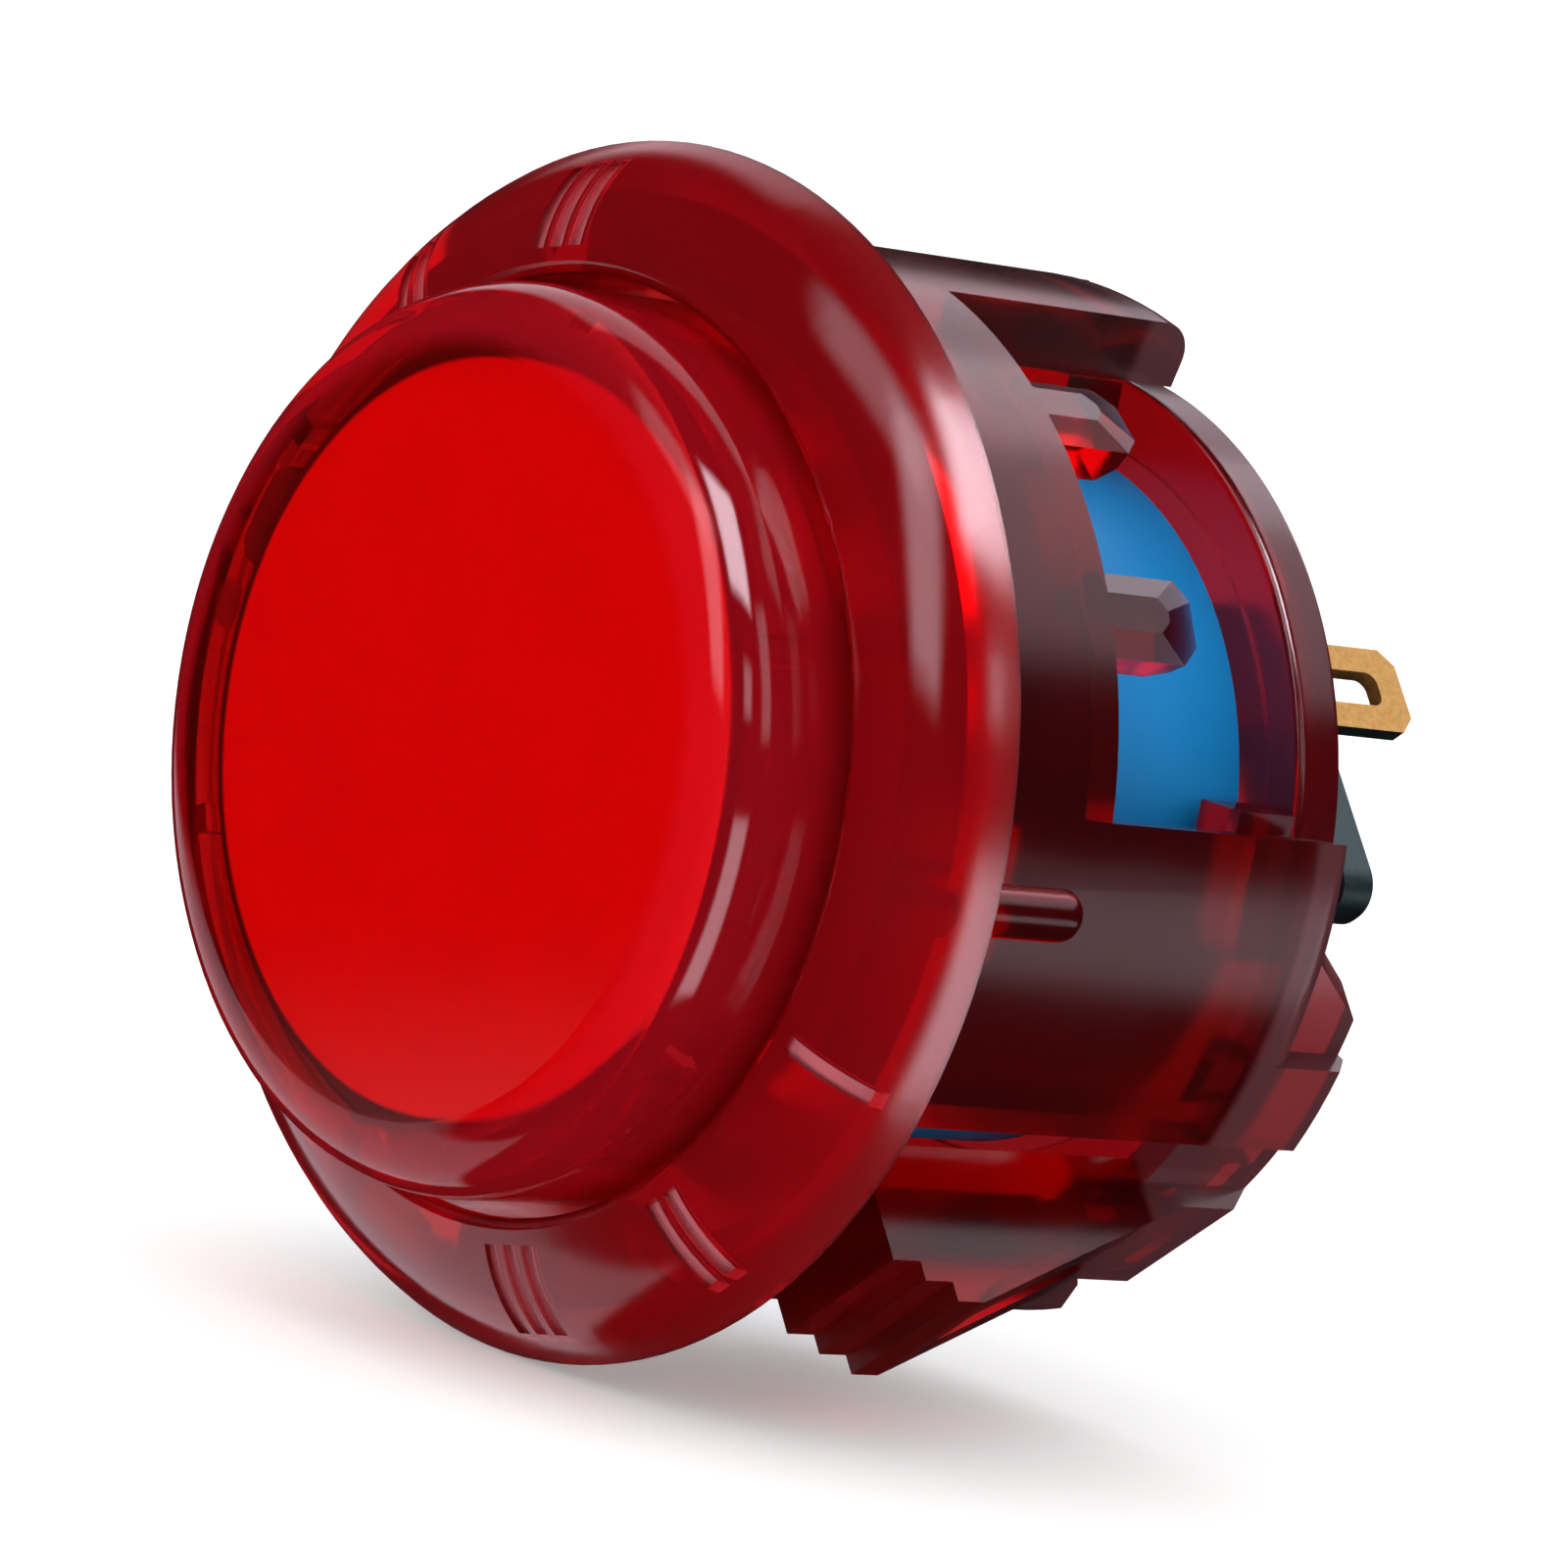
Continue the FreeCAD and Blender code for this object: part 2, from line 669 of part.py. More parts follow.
def make_terminal():
    """Terminal: a leg through the board, a foot with round corners and a slotted blade."""
    outside = -terminal_offset - terminal_thickness / 2
    blade_end = foot_back + blade_length
    half = blade_width / 2
    foot = Part.makeBox(foot_long_side + foot_short_side, foot_thickness, foot_height,
                        V(-foot_short_side, outside, foot_front))
    foot = foot.makeFillet(foot_round, [edge for edge in foot.Edges if abs(edge.tangentAt(0).z) > 0.9])
    corners = [V(blade_shift - half, outside, foot_front), V(blade_shift - half, outside, blade_end - blade_chamfer),
               V(blade_shift - half + blade_chamfer, outside, blade_end),
               V(blade_shift + half - blade_chamfer, outside, blade_end),
               V(blade_shift + half, outside, blade_end - blade_chamfer), V(blade_shift + half, outside, foot_front)]
    blade = Part.Face(Part.makePolygon(corners + corners[:1])).extrude(V(0, terminal_thickness, 0))
    leg = Part.makeBox(terminal_leg_width, terminal_thickness, foot_front - board_front + solder_height,
                       V(-terminal_leg_width / 2, outside, board_front - solder_height))
    slot = Part.makeBox(blade_slot_width, terminal_thickness, blade_slot_length,
                        V(blade_shift - blade_slot_width / 2, outside,
                          blade_end - blade_slot_inset - blade_slot_length))
    slot = slot.makeFillet(blade_slot_round,
                           [edge for edge in slot.Edges if abs(edge.tangentAt(0).y) > 0.9])
    return foot.fuse(blade).fuse(leg).removeSplitter().cut(slot)


def make_circuit_board():
    """Round board that carries the switch and joins it to the terminals."""
    board = ring(0, board_radius, board_front, board_back)
    cuts = terminal_slot(board_front, board_back)
    for side in (-1, 1):
        cuts.append(Part.makeCylinder(screw_radius + seat_gap, board_thickness,
                                      V(side * screw_offset, 0, board_front)))
        cuts.append(Part.makeCylinder(pin_width / 2 + fit_gap, board_thickness,
                                      V(side * contact_offset, 0, board_front)))
    return board.cut(Part.makeCompound(cuts))


def make_board_screws():
    """Two small cross-headed screws that hold the board on the rear base."""
    screws = []
    for side in (-1, 1):
        head_front = board_front - screw_head_height
        head = Part.makeCylinder(screw_head_radius, screw_head_height, V(side * screw_offset, 0, head_front))
        shank = Part.makeCylinder(screw_radius, board_thickness + screw_depth,
                                  V(side * screw_offset, 0, board_front))
        cross = cross_prism(screw_head_radius, screw_head_height / 3, head_front,
                            head_front + screw_head_height / 2)
        cross.translate(V(side * screw_offset, 0, 0))
        screws.append(head.fuse(shank).cut(cross))
    return Part.makeCompound(screws)


def make_pin_solder():
    """Solder cones round the switch's pins on the back of the board."""
    joints = []
    for side in (-1, 1):
        foot = pin_width / 2 + solder_rim
        cone = Part.makeCone(foot, pin_width / 2 + fit_gap, solder_height,
                             V(side * contact_offset, 0, board_back))
        slot = Part.makeBox(contact_thickness, pin_width, solder_height,
                            V(side * contact_offset - contact_thickness / 2, -pin_width / 2, board_back))
        joints.append(cone.cut(slot))
    return Part.makeCompound(joints)


def make_terminal_solder():
    """Solder round the terminals' legs, on the front of the board."""
    length = terminal_leg_width + 2 * terminal_solder_rim
    width = terminal_thickness + 2 * terminal_solder_rim
    front = board_front - solder_height
    pad = Part.makeBox(length, width, solder_height, V(-length / 2, -terminal_offset - width / 2, front))
    rims = [edge for edge in pad.Edges if edge.BoundBox.ZMax < front + seat_gap]
    leg = Part.makeBox(terminal_leg_width, terminal_thickness, solder_height,
                       V(-terminal_leg_width / 2, -terminal_offset - terminal_thickness / 2, front))
    joint = pad.makeChamfer(terminal_solder_chamfer, rims).cut(leg)
    return Part.makeCompound([joint, turned(joint, 180)])


def laid_over(shape):
    """Turn the clips to where they lie, then swing the depth from +Z to +Y."""
    swing = FreeCAD.Rotation(V(1, 1, 1), -120)
    turn = FreeCAD.Rotation(AXIS, lie_angle)
    placed = shape.copy()
    placed.Placement = FreeCAD.Placement(CENTRE, swing.multiply(turn)).multiply(placed.Placement)
    return placed


def build_pieces():
    terminal = make_terminal()
    return {
        "housing": make_housing(),
        "rear_base": make_rear_base(),
        "switch_tower": make_switch_tower(),
        "front_cushion": make_front_cushion(),
        "stop_cushion": make_stop_cushion(),
        "plunger_cap": make_plunger_cap(),
        "plunger_disc": make_plunger_disc(),
        "plunger_core": make_plunger_core(),
        "switch_stem": make_switch_stem(),
        "switch_spring": make_switch_spring(),
        "switch_upper_case": make_switch_upper_case(),
        "switch_lower_case": make_switch_lower_case(),
        "contact_leaf": make_contact_leaf(),
        "fixed_contact": make_fixed_contact(),
        "circuit_board": make_circuit_board(),
        "board_screws": make_board_screws(),
        "pin_solder": make_pin_solder(),
        "terminal_solder": make_terminal_solder(),
        "terminal_near": terminal,
        "terminal_far": turned(terminal, 180),
    }


os.makedirs("parts", exist_ok=True)
for name, shape in build_pieces().items():
    laid_over(shape).exportStep(os.path.join("parts", name + ".step"))
    print(name, "solids", len(shape.Solids), "valid", shape.isValid(), "volume", round(shape.Volume, 2))
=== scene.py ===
# %% [markdown]
# # A snap-in arcade push button
#
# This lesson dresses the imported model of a 30 mm push button: a translucent red housing, a clear
# cap over a bright disc, a blue switch carrier and stamped brass terminals. The shapes come from
# the CAD model, so most of the work is in the plastics, the metal and the light.

import math

import bmesh
import bpy
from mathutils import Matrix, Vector


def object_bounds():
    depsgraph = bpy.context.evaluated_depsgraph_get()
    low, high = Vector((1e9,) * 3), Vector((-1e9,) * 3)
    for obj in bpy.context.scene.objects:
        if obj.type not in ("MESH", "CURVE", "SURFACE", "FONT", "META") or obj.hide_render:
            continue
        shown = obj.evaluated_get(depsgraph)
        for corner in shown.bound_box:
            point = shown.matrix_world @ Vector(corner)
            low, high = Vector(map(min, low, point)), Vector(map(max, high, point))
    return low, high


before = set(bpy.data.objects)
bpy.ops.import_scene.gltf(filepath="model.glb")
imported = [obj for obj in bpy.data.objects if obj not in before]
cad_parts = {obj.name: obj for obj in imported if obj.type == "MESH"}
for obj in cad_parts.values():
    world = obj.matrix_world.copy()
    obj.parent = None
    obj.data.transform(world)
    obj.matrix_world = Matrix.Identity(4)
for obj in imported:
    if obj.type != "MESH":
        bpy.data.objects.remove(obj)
cad_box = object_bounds()
MM = 0.001
print("nodes", sorted(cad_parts))

# %% [markdown]
# ## The camera
#
# The button lies on its side, and the camera stands to the right of its face, so the plunger points
# to the left in the picture. A long lens keeps the picture almost free of perspective. The angles say
# where the camera stands: how far it has swung round the button, how high it is, and how much it is
# rolled about its own line of sight. A constraint that tracks an empty could aim the camera too, but
# it leaves the roll to a second step. Building the camera's three directions from the angles keeps
# each of them easy to change.

# %% Camera
AZIMUTH = math.radians(48.492)
ELEVATION = math.radians(6)
ROLL = math.radians(10.748)
DISTANCE = 251.123 * MM
LENS = 204.32
SENSOR_WIDTH = 36
NEAREST = 0.005
FURTHEST = 200
AIM = Vector((-1.04, 7.722, -0.579)) * MM

to_camera = Vector((math.sin(AZIMUTH) * math.cos(ELEVATION),
                    -math.cos(AZIMUTH) * math.cos(ELEVATION), math.sin(ELEVATION)))
level = Vector((math.cos(AZIMUTH), math.sin(AZIMUTH), 0))
upright = to_camera.cross(level)


def add_camera():
    """The camera, placed by the angles above."""
    data = bpy.data.cameras.new("camera")
    data.lens = LENS
    data.sensor_width = SENSOR_WIDTH
    data.clip_start = NEAREST
    data.clip_end = FURTHEST
    camera = bpy.data.objects.new("camera", data)
    bpy.context.scene.collection.objects.link(camera)
    side = level * math.cos(ROLL) + upright * math.sin(ROLL)
    top = upright * math.cos(ROLL) - level * math.sin(ROLL)
    camera.matrix_world.col[0].xyz = side
    camera.matrix_world.col[1].xyz = top
    camera.matrix_world.col[2].xyz = to_camera
    camera.matrix_world.translation = AIM + to_camera * DISTANCE
    bpy.context.scene.camera = camera
    return camera


camera = add_camera()
bpy.context.scene.view_settings.view_transform = "Standard"
print("camera at", [round(value, 4) for value in camera.matrix_world.translation])

# %% [markdown]
# ## Shader maths
#
# A material in Blender is a tree of nodes. It could be wired by hand in the editor, or line by line
# in a script, but a formula gets lost in either. Writing it as arithmetic is easier to read, so a
# small class wraps one value in the tree and turns each operator into a Math node. Every other node
# comes from one method, which takes its type, its settings and the values of its sockets.


# %% Values and nodes
class Level:
    """One number that varies over a surface. Arithmetic on it adds Math nodes."""

    def __init__(self, paint, socket):
        self.paint = paint
        self.socket = socket

    def maths(self, operation, first, second=0.0):
        return self.paint.add("ShaderNodeMath", {"operation": operation}, {0: first, 1: second})[0]

    def __add__(self, other):
        return self.maths("ADD", self, other)

    def __radd__(self, other):
        return self.maths("ADD", other, self)

    def __sub__(self, other):
        return self.maths("SUBTRACT", self, other)

    def __rsub__(self, other):
        return self.maths("SUBTRACT", other, self)

    def __mul__(self, other):
        return self.maths("MULTIPLY", self, other)

    def __rmul__(self, other):
        return self.maths("MULTIPLY", other, self)

    def __pow__(self, other):
        return self.maths("POWER", self, other)

    def size(self):
        return self.maths("ABSOLUTE", self)

    def fade(self, start, end, low=0.0, high=1.0):
        """Goes smoothly from low, at start, to high, at end."""
        return self.paint.add("ShaderNodeMapRange", {"interpolation_type": "SMOOTHSTEP"},
                              {"Value": self, "From Min": start, "From Max": end,
                               "To Min": low, "To Max": high})[0]


class Paint:
    """The node tree of one material, or of the world."""

    def __init__(self, name, owner=None):
        self.owner = owner or bpy.data.materials.new(name)
        self.owner.use_nodes = True
        self.tree = self.owner.node_tree
        self.tree.nodes.clear()

    def put(self, socket, value):
        """Links a Level or a socket, or sets a plain value."""
        if isinstance(value, Level):
            value = value.socket
        if isinstance(value, bpy.types.NodeSocket):
            self.tree.links.new(value, socket)
        elif isinstance(value, tuple) and len(value) == 3 and socket.type == "RGBA":
            socket.default_value = (*value, 1)
        else:
            socket.default_value = value

    def add(self, kind, settings, values):
        """Adds a node, its settings first, and returns its outputs as Levels."""
        node = self.tree.nodes.new(kind)
        for name, value in settings.items():
            setattr(node, name, value)
        for name, value in values.items():
            self.put(node.inputs[name], value)
        return [Level(self, output) for output in node.outputs]

    def place(self):
        """The place of a point of the object, in metres."""
        return self.add("ShaderNodeTexCoord", {}, {})[3]

    def round_axis(self, point):
        """How far a point is from the button's axis, and how far back along it the point lies."""
        x, y, z = self.add("ShaderNodeSeparateXYZ", {}, {0: point})
        return (x * x + z * z) ** 0.5, y

    def reach(self, vector, axis):
        """How far a vector reaches along an axis."""
        return self.add("ShaderNodeVectorMath", {"operation": "DOT_PRODUCT"}, {0: vector, 1: tuple(axis)})[1]

    def grain(self, point, scale, detail=0.0, roughness=0.5):
        """Soft noise from 0 to 1, scale lumps to the metre."""
        return self.add("ShaderNodeTexNoise", {},
                        {"Vector": point, "Scale": scale, "Detail": detail, "Roughness": roughness})[0]

    def blend(self, factor, first, second):
        """One colour where factor is 0, the other where it is 1."""
        return self.add("ShaderNodeMix", {"data_type": "RGBA"}, {0: factor, 6: first, 7: second})[2]

    def bump(self, height, strength, distance):
        return self.add("ShaderNodeBump", {},
                        {"Height": height, "Strength": strength, "Distance": distance})[0]

    def surface(self, values):
        return self.add("ShaderNodeBsdfPrincipled", {}, values)[0]

    def mix(self, factor, first, second):
        """One surface where factor is 0, the other where it is 1."""
        return self.add("ShaderNodeMixShader", {}, {0: factor, 1: first, 2: second})[0]

    def dye(self, colour, density):
        """A volume that takes light away along its way through a wall."""
        return self.add("ShaderNodeVolumeAbsorption", {}, {"Color": colour, "Density": density})[0]

    def finish(self, surface, volume=None):
        output = self.tree.nodes.new("ShaderNodeOutputMaterial")
        self.put(output.inputs["Surface"], surface)
        if volume:
            self.put(output.inputs["Volume"], volume)
        return self.owner


print("made", Level.__name__, "and", Paint.__name__)

# %% [markdown]
# ## Dressing a node
#
# The model's nodes come with plain materials. Their meshes and places stay as they are, and only the
# material slot is filled anew. One small function does it, so each finish below ends with one line
# for each node that wears it.


# %% A node's material
def wear(material, *node_names):
    """Gives nodes of the CAD model their material."""
    for node_name in node_names:
        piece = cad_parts[node_name]
        piece.data.materials.clear()
        piece.data.materials.append(material)
    print(material.name, "on", node_names)


# %% [markdown]
# ## The floor
#
# The real button lies on a white sweep, a sheet that curves up behind it without a corner. A bent
# sheet could be built, but from this height only its flat part shows, so a very wide disc is enough.
# It stands a hair under the lowest point of the model. It glows faintly, as a real sweep does when
# the lamps stand close to it, and it is hidden from reflections, which show the dark room instead.

# %% Floor
FLOOR_GAP = 0.05 * MM
FLOOR_REACH = 30.0
FLOOR_SIDES = 96
FLOOR_LUMPS = 40.0
FLOOR_GLOW = 0.25


def add_floor():
    """A wide pale disc under the lowest point of the model."""
    floor_level = cad_box[0][2] - FLOOR_GAP
    mesh = bpy.data.meshes.new("floor")
    shape = bmesh.new()
    bmesh.ops.create_circle(shape, cap_ends=True, segments=FLOOR_SIDES, radius=FLOOR_REACH)
    bmesh.ops.translate(shape, verts=shape.verts, vec=(0, 0, floor_level))
    shape.to_mesh(mesh)
    shape.free()
    floor = bpy.data.objects.new("floor", mesh)
    bpy.context.scene.collection.objects.link(floor)
    paint = Paint("pale_floor")
    tone = paint.grain(paint.place(), FLOOR_LUMPS).fade(0.3, 0.7, 0.90, 0.92)
    colour = paint.add("ShaderNodeCombineColor", {}, {0: tone, 1: tone, 2: tone})[0]
    surface = paint.surface({"Base Color": colour, "Roughness": 0.9, "Specular IOR Level": 0.0,
                             "Emission Color": colour, "Emission Strength": FLOOR_GLOW})
    mesh.materials.append(paint.finish(surface))
    floor.visible_glossy = False
    return floor_level


print("floor at", round(add_floor(), 5))

# %% [markdown]
# ## The light
#
# The real setting has soft light from all round and a few softboxes that draw the streaks on the
# polished edges. Area lamps could stand for the softboxes, but they would light the whole button as
# well. The world does both jobs here. It shows a dome of white light, a little fuller on the
# camera's left, to the rays that light a surface. To the rays that a gloss sends out, it shows a
# darker room with bright panels, which is what black cloths and panels round a product table do.
#
# Each panel stands where a streak of the real picture is reflected from, found by mirroring the line
# of sight at the surface. Mixing two backgrounds is quicker than mixing their strengths, because only
# the one that a ray needs is worked out.
#
# The world isn't sampled as a lamp. A dome this even is found by the rays that bounce anyway, and
# leaving out the extra ray at every bounce makes the picture in less than half the time.

# %% World
PANELS = (
    # turn, height, half width, half height and soft edge in degrees, then strength
    (11, 57, 9, 11, 6, 22.0),
    (46, 28, 4, 11, 6, 3.0),
    (23, -25, 8, 17, 6, 7.5),
    (-33, 33, 5, 16, 7, 4.6),
    (-52, 49, 12, 5, 8, 2.4),
    (15, 23, 3, 3, 5, 5.0),
    (172, 45, 24, 19, 6, 1.3),
    (119, 42, 23, 10, 6, 1.5),
    (95, -15, 13, 5, 6, 1.4),
    (-120, -36, 21, 23, 3, 1.2),
)
ROOM_LEVEL = 0.01
ROOM_TINT = (1.0, 0.90, 1.0)
DOME_LEVEL = 1.05
DOME_EXTRA = 0.3
FULLER_SIDE = (-70, 35)


def studio_direction(turn, height):
    """A direction, as angles in degrees round from the camera to its right, and up."""
    turn = math.radians(turn)
    height = math.radians(height)
    toward = Vector((to_camera.x, to_camera.y, 0)).normalized()
    flat = toward * math.cos(turn) + level * math.sin(turn)
    return flat * math.cos(height) + Vector((0, 0, math.sin(height)))


def panel(paint, direction, turn, height, half_width, half_height, soft, strength):
    """A bright panel with soft edges, in the part of the room that a gloss reflects."""
    middle = studio_direction(turn, height)
    across = Vector((0, 0, 1)).cross(middle).normalized()
    rise = middle.cross(across)
    masks = []
    for axis, half in ((across, half_width), (rise, half_height)):
        limit = math.sin(math.radians(half))
        outer = limit + math.sin(math.radians(soft))
        masks.append(paint.reach(direction, axis).size().fade(limit, outer, 1.0, 0.0))
    ahead = paint.reach(direction, middle).fade(0.0, 0.1)
    return masks[0] * masks[1] * ahead * strength


def light_world():
    """Soft white light, fuller from the left, with the darker room and its panels in the reflections."""
    world = bpy.data.worlds.new("studio")
    bpy.context.scene.world = world
    world.cycles.sampling_method = "NONE"
    paint = Paint("studio", world)
    direction = paint.add("ShaderNodeTexCoord", {}, {})[0]
    seen = ROOM_LEVEL
    for values in PANELS:
        seen = panel(paint, direction, *values) + seen
    side = paint.reach(direction, studio_direction(*FULLER_SIDE)).fade(-0.2, 0.9)
    dome = paint.add("ShaderNodeBackground", {},
                     {"Color": (1, 1, 1), "Strength": side * DOME_EXTRA + DOME_LEVEL})[0]
    room = paint.add("ShaderNodeBackground", {}, {"Color": ROOM_TINT, "Strength": seen})[0]
    gloss = paint.add("ShaderNodeLightPath", {}, {})[3]
    output = paint.tree.nodes.new("ShaderNodeOutputWorld")
    paint.put(output.inputs["Surface"], paint.mix(gloss, dome, room))


light_world()
print("panels", len(PANELS))

# %% [markdown]
# ## The translucent red housing
#
# The housing is one moulding in dyed clear plastic, and so is the rear base. The bezel is polished in
# the mould and the barrel is slightly frosted. Glass-like transmission with an absorbing volume makes
# the colour deepen with the wall's thickness, which a tinted surface can't do. A real dyed plastic is
# also a little cloudy, so a milky surface is mixed over the clear one. Scattering inside the volume
# would do this more truly, but it costs many times the rays.
#
# The share of the milky surface follows the place on the moulding: the most for the rear flange, the
# bridges' ends and the setting marks, and the least for the frosted barrel. The setting marks are cut
# matt. On the rear flange the dark milky red is painted shade, standing for the shade that falls on it
# between the flange and the clip arms. On the bridges' ends the dark grey-red is partly the dense
# plastic's own colour and partly a painted dull grey reflection. Each place is a mask made from two
# numbers, the distance from the button's axis and the depth along it.
# The marks lie below the dome of the bezel, so their mask is what lies deeper than its round section.

# %% Red plastic
RED_IOR = 1.45
RED_DYE = (0.965, 0.20, 0.26)
RED_DENSITY = 3000.0
RED_LUMPS = 260.0

BARREL_START = (-0.15 * MM, 0.1 * MM)
FLANGE_START = (12.0 * MM, 14.6 * MM)
FLANGE_RIM = (12.4 * MM, 12.7 * MM)
BRIDGE_START = (13.0 * MM, 13.5 * MM)
BRIDGE_INSIDE = (12.7 * MM, 12.9 * MM)
BEZEL_EDGE = (16.0 * MM, 16.9 * MM)

DOME_RING = 12.64 * MM
DOME_BACK = 2.11 * MM
DOME_RADIUS = 4.757 * MM
MARK_DEEP = 0.3 * MM
MARK_SHALLOW = 0.1 * MM
MARK_INSIDE = (13.4 * MM, 13.6 * MM)
MARK_BACK = (-0.25 * MM, -0.15 * MM)

BEZEL_TINT = (1, 0.90, 0.92)
BARREL_TINT = (0.80, 0.50, 0.54)
BEZEL_REDS = ((0.42, 0.001, 0.006), (0.48, 0.002, 0.009))
BARREL_REDS = ((0.11, 0.001, 0.004), (0.13, 0.002, 0.005))
FLANGE_SHADE_RED = (0.13, 0.001, 0.004)
# The flange's dark red is painted shade, for the shade between the flange and the clip arms.
MARK_RED = (0.70, 0.22, 0.26)
# The bridges' dark grey-red is partly the dense plastic's own colour and partly a painted dull grey
# reflection.
BRIDGE_DENSE_AND_SHEEN_RED = (0.11, 0.035, 0.042)


def make_red_clear():
    """Dyed clear plastic, polished on the bezel, frosted on the barrel and milky in some places, with
    painted shade on the flange and a partly painted grey reflection on the bridges' ends.
    """
    paint = Paint("red_clear_plastic")
    point = paint.place()
    radius, along = paint.round_axis(point)
    flow = paint.grain(point, RED_LUMPS)
    barrel = along.fade(*BARREL_START)
    # Where the rear flange lies: a painted shade of dark milky red.
    flange_shade = along.fade(*FLANGE_START) * (1 - radius.fade(*FLANGE_RIM))
    # Where the bridges' ends lie: dense plastic with a painted dull grey reflection.
    bridge_dense_and_sheen = radius.fade(*BRIDGE_INSIDE) * along.fade(*BRIDGE_START)
    outward = ((along - DOME_BACK) ** 2.0 + (radius - DOME_RING) ** 2.0) ** 0.5
    mark = outward.fade(DOME_RADIUS - MARK_DEEP, DOME_RADIUS - MARK_SHALLOW, 1.0, 0.0)
    mark = mark * radius.fade(*MARK_INSIDE) * along.fade(*MARK_BACK, 1.0, 0.0)

    rough = flow.fade(0.35, 0.7, 0.09, 0.12) + barrel * 0.07 + radius.fade(*BEZEL_EDGE) * 0.12
    clear = paint.surface({"Base Color": paint.blend(barrel, BEZEL_TINT, BARREL_TINT),
                           "Roughness": rough, "IOR": RED_IOR, "Transmission Weight": 1.0})
    red = paint.blend(barrel, paint.blend(flow, *BEZEL_REDS), paint.blend(flow, *BARREL_REDS))
    # The flange's painted shade and the bridges' partly painted grey reflection are laid over the reds here,
    # with the marks' matt colour.
    for mask, colour in ((flange_shade, FLANGE_SHADE_RED), (mark, MARK_RED), (bridge_dense_and_sheen, BRIDGE_DENSE_AND_SHEEN_RED)):
        red = paint.blend(mask, red, colour)
    milky = paint.surface({"Base Color": red, "Roughness": rough, "IOR": RED_IOR})
    # A bigger milky share darkens the flange with painted shade and the bridges' ends with a partly painted
    # grey reflection.
    share = flange_shade * 0.4 + mark * 0.35 - barrel * 0.2 + bridge_dense_and_sheen * 0.5 + 0.3
    return paint.finish(paint.mix(share, clear, milky), paint.dye(RED_DYE, RED_DENSITY))


wear(make_red_clear(), "housing", "rear_base")

# %% [markdown]
# ## The clear cap
#
# The cap is the same kind of plastic with much less dye, so the disc's colour comes through it. It
# could be plain glass over the disc, but the real cap's rim is cloudier than its face, where light
# runs along the wall. A milky share that rises towards the rim shows that.

# %% Cap plastic
CAP_IOR = 1.35
CAP_DYE = (0.985, 0.20, 0.22)
CAP_DENSITY = 1100.0
CAP_LUMPS = 200.0
CAP_TINT = (1, 0.97, 0.97)
CAP_REDS = ((0.50, 0.006, 0.016), (0.56, 0.008, 0.02))
CAP_RIM = (10.3 * MM, 11.2 * MM)


def make_cap_clear():
    """Clear glossy plastic with a milky rim."""
    paint = Paint("cap_clear_plastic")
    point = paint.place()
    radius = paint.round_axis(point)[0]
    flow = paint.grain(point, CAP_LUMPS)
    clear = paint.surface({"Base Color": CAP_TINT, "Roughness": flow.fade(0.3, 0.7, 0.02, 0.045),
                           "IOR": CAP_IOR, "Transmission Weight": 1.0})
    milky = paint.surface({"Base Color": paint.blend(flow, *CAP_REDS),
                           "Roughness": flow.fade(0.3, 0.7, 0.04, 0.07), "IOR": CAP_IOR})
    share = radius.fade(*CAP_RIM) * 0.28
    return paint.finish(paint.mix(share, clear, milky), paint.dye(CAP_DYE, CAP_DENSITY))


wear(make_cap_clear(), "plunger_cap")

# %% [markdown]
# ## The bright disc
#
# The disc is opaque plastic in a strong red, and it gives the button its colour. A dark line runs
# round it on the real button, where the gap between the disc and the cap lies in shade. Thousands of
# rays would be needed to find that narrow gap through the cap, so the line is painted on the disc's
# edge. The carrier under the disc is moulded in the same red.

# %% Disc plastic
DISC_RADIUS = 10.60 * MM
DISC_SHADE = (DISC_RADIUS - 0.3 * MM, DISC_RADIUS - 0.15 * MM)
DISC_LUMPS = 300.0
DISC_REDS = ((0.84, 0.0, 0.0012), (0.92, 0.0003, 0.002))
SHADE_RED = (0.05, 0.0, 0.001)
FRONT_END = (0.0, 0.1 * MM)


def make_bright_red():
    """Opaque strong red, shaded round the disc's edge."""
    paint = Paint("bright_red_plastic")
    point = paint.place()
    radius, along = paint.round_axis(point)
    flow = paint.grain(point, DISC_LUMPS)
    shade = radius.fade(*DISC_SHADE) * along.fade(*FRONT_END, 1.0, 0.0)
    colour = paint.blend(shade, paint.blend(flow, *DISC_REDS), SHADE_RED)
    return paint.finish(paint.surface({"Base Color": colour, "Roughness": flow.fade(0.3, 0.7, 0.45, 0.5),
                                       "Specular IOR Level": 0.1}))


wear(make_bright_red(), "plunger_disc", "plunger_core")

# %% [markdown]
# ## The blue carrier and the small plastic pieces
#
# The carrier is opaque blue plastic, a little uneven in colour and gloss. The rest hides inside the
# button, but every piece gets its own finish, because some of it shows through the red walls. One
# function makes them all, from a darker and a lighter colour and a roughness. The plastics have no
# bump: rays that have come through the red walls reach them many times, and a bump works out its
# noise three times for each of those.


# %% Opaque plastics and rubber
def make_moulded(name, dark, light, rough, gloss=0.5):
    """Opaque moulded plastic or rubber, a little uneven in colour and gloss."""
    paint = Paint(name)
    flow = paint.grain(paint.place(), 400.0, 1.0)
    return paint.finish(paint.surface({"Base Color": paint.blend(flow, dark, light),
                                       "Roughness": flow.fade(0.2, 0.8, rough, rough + 0.08),
                                       "Specular IOR Level": gloss}))


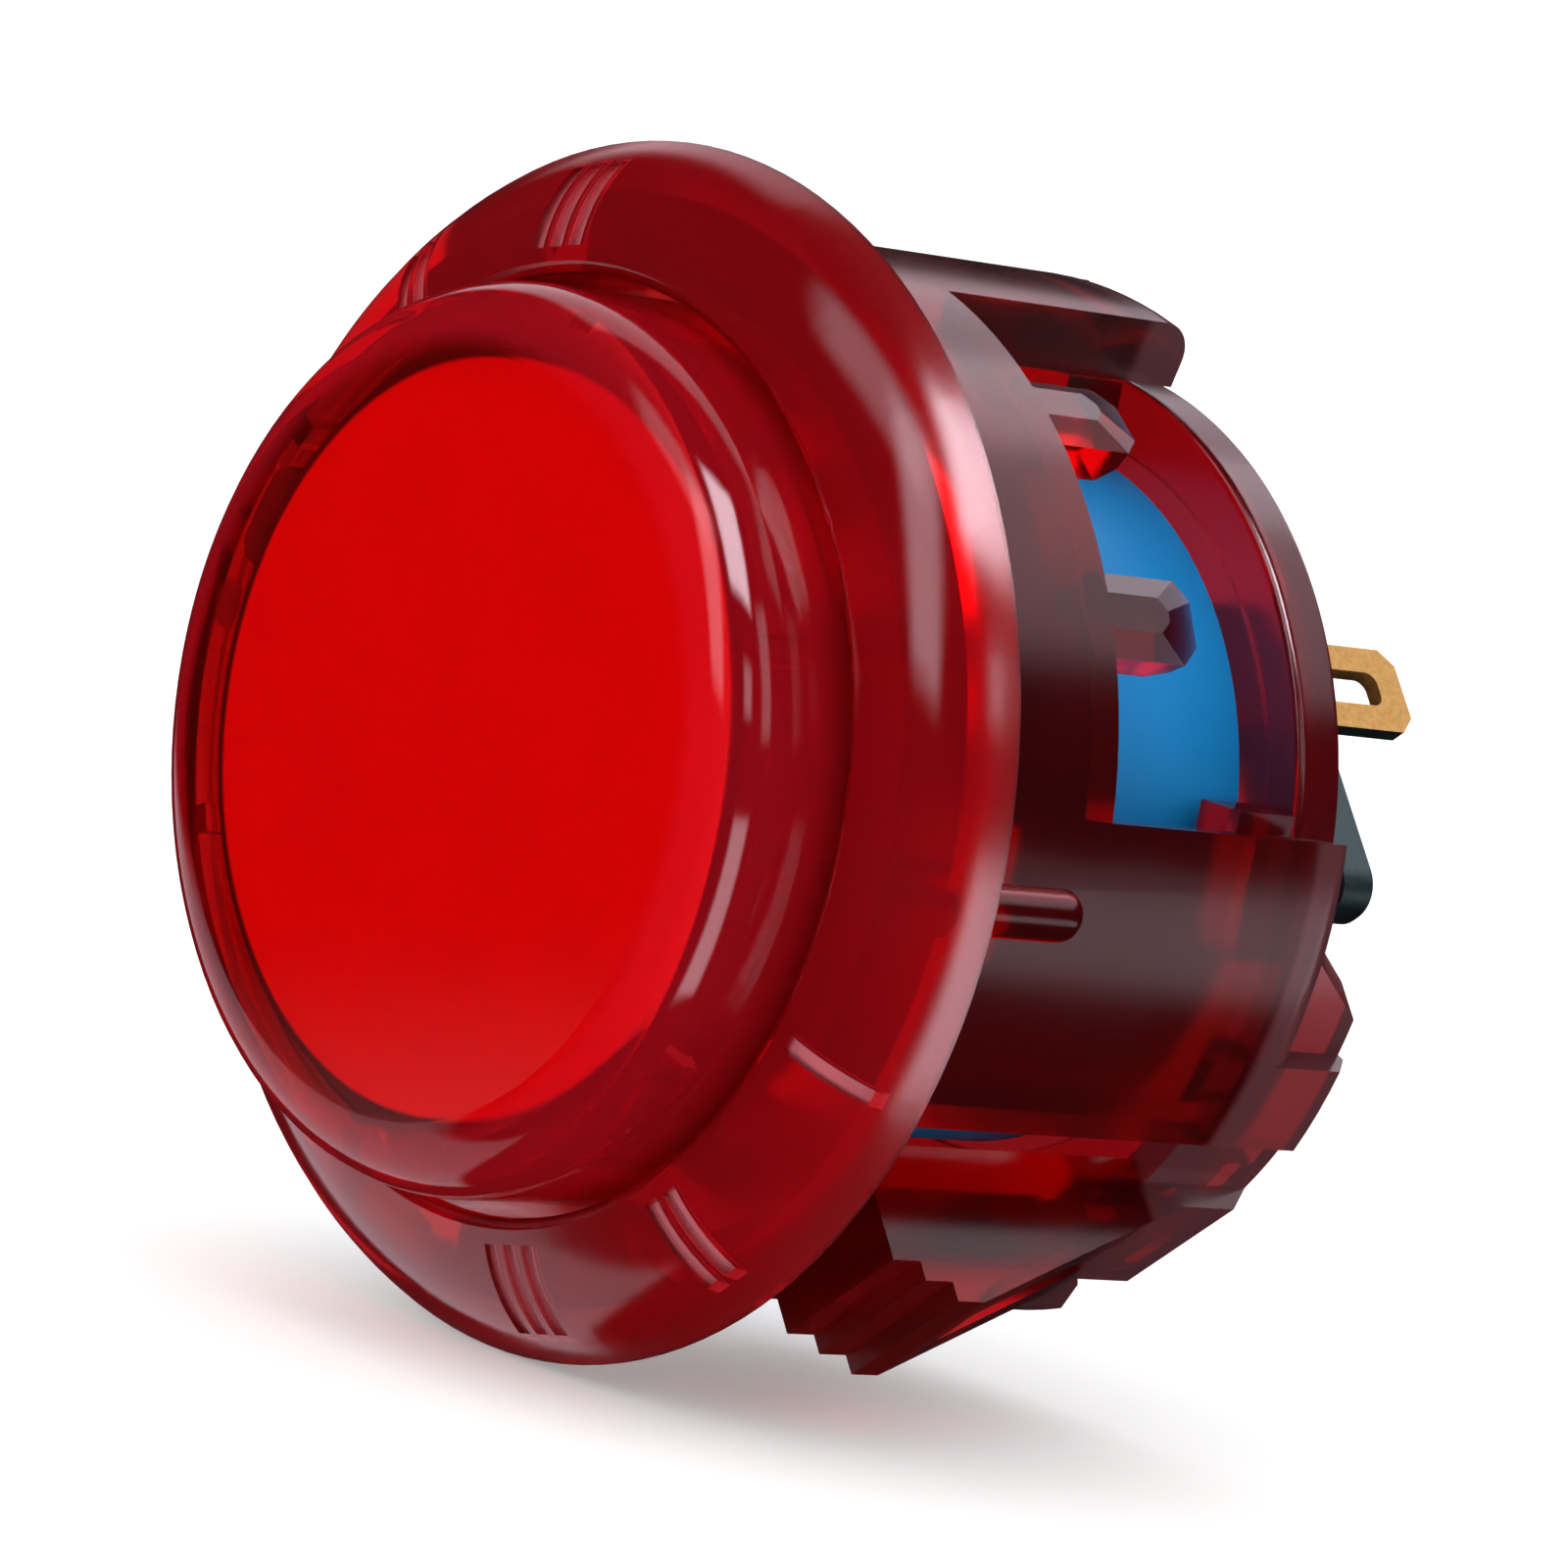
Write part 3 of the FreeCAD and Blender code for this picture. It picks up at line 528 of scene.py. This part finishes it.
wear(make_moulded("blue_plastic", (0.002, 0.215, 0.56), (0.005, 0.25, 0.62), 0.42, 0.2), "switch_tower")
wear(make_moulded("soft_rubber", (0.03, 0.03, 0.034), (0.05, 0.05, 0.055), 0.6),
     "front_cushion", "stop_cushion")
wear(make_moulded("case_plastic", (0.02, 0.02, 0.023), (0.035, 0.035, 0.038), 0.35),
     "switch_upper_case", "switch_lower_case")
wear(make_moulded("board_laminate", (0.02, 0.13, 0.05), (0.03, 0.19, 0.07), 0.3), "circuit_board")
wear(make_moulded("stem_plastic", (0.42, 0.02, 0.02), (0.5, 0.035, 0.03), 0.35), "switch_stem")

# %% [markdown]
# ## Screws, spring and solder
#
# Bare metal has no colour below its reflection, so its base colour is the colour of the reflection
# itself, and Metallic is 1. The fine grain of drawn wire and cold solder could come from an image,
# but noise needs no file and fits a piece of any shape.


# %% Bare metal
def make_metal(name, dark, light, rough, lumps=3000.0):
    """Bare metal with a fine grain."""
    paint = Paint(name)
    flecks = paint.grain(paint.place(), lumps, 4.0, 0.7)
    return paint.finish(paint.surface({"Base Color": paint.blend(flecks.fade(0.35, 0.65), dark, light),
                                       "Metallic": 1.0,
                                       "Roughness": flecks.fade(0.3, 0.7, rough, rough + 0.12),
                                       "Normal": paint.bump(flecks, 0.15, 0.02 * MM)}))


wear(make_metal("screw_steel", (0.42, 0.42, 0.43), (0.62, 0.62, 0.63), 0.25), "board_screws")
wear(make_metal("spring_steel", (0.5, 0.5, 0.52), (0.66, 0.66, 0.68), 0.2), "switch_spring")
wear(make_metal("solder", (0.6, 0.6, 0.6), (0.78, 0.78, 0.77), 0.22, 1500.0),
     "pin_solder", "terminal_solder")

# %% [markdown]
# ## The stamped terminals
#
# A terminal is a foot with a thin slotted blade. The blade's broad faces and the walls of its slot
# are golden, and its edges and the foot are a smooth grey-green metal. Each face could be given its
# own material slot, but the model's triangles come without groups. The material tells the faces apart
# by the direction that the surface faces, and the slot and the foot by where they lie.

# %% Terminal metal
BLADE_TURN = math.radians(140.7)
BLADE_FACING = (math.cos(BLADE_TURN), 0.0, -math.sin(BLADE_TURN))
BLADE_ACROSS = (math.sin(BLADE_TURN), 0.0, math.cos(BLADE_TURN))
BLADE_MIDDLE = 0.15 * MM
SLOT_WALL = (0.56 * MM, 0.62 * MM)
FOOT_END = (20.97 * MM, 21.05 * MM)
BLADE_LUMPS = 5000.0
GOLDS = ((0.42, 0.24, 0.06), (0.56, 0.35, 0.11))
GREYS = ((0.045, 0.075, 0.075), (0.06, 0.09, 0.09))


def make_brass():
    """Golden on the blade's broad faces and in its slot, grey-green elsewhere."""
    paint = Paint("terminal_brass")
    point = paint.place()
    along = paint.round_axis(point)[1]
    facing = paint.add("ShaderNodeNewGeometry", {}, {})[1]
    broad = paint.reach(facing, BLADE_FACING).size().fade(0.75, 0.95)
    across = paint.reach(point, BLADE_ACROSS).size()
    slot = (across - BLADE_MIDDLE).size().fade(*SLOT_WALL, 1.0, 0.0)
    golden = (broad * (1 - slot) + slot) * along.fade(*FOOT_END)
    flecks = paint.grain(point, BLADE_LUMPS, 4.0, 0.75)
    fleck = flecks.fade(0.3, 0.7)
    colour = paint.blend(golden, paint.blend(fleck, *GREYS), paint.blend(fleck, *GOLDS))
    return paint.finish(paint.surface({"Base Color": colour, "Metallic": 1.0,
                                       "Roughness": flecks.fade(0.3, 0.7, 0.38, 0.5),
                                       "Normal": paint.bump(flecks, 0.3, 0.03 * MM)}))


wear(make_brass(), "terminal_near", "terminal_far", "contact_leaf", "fixed_contact")
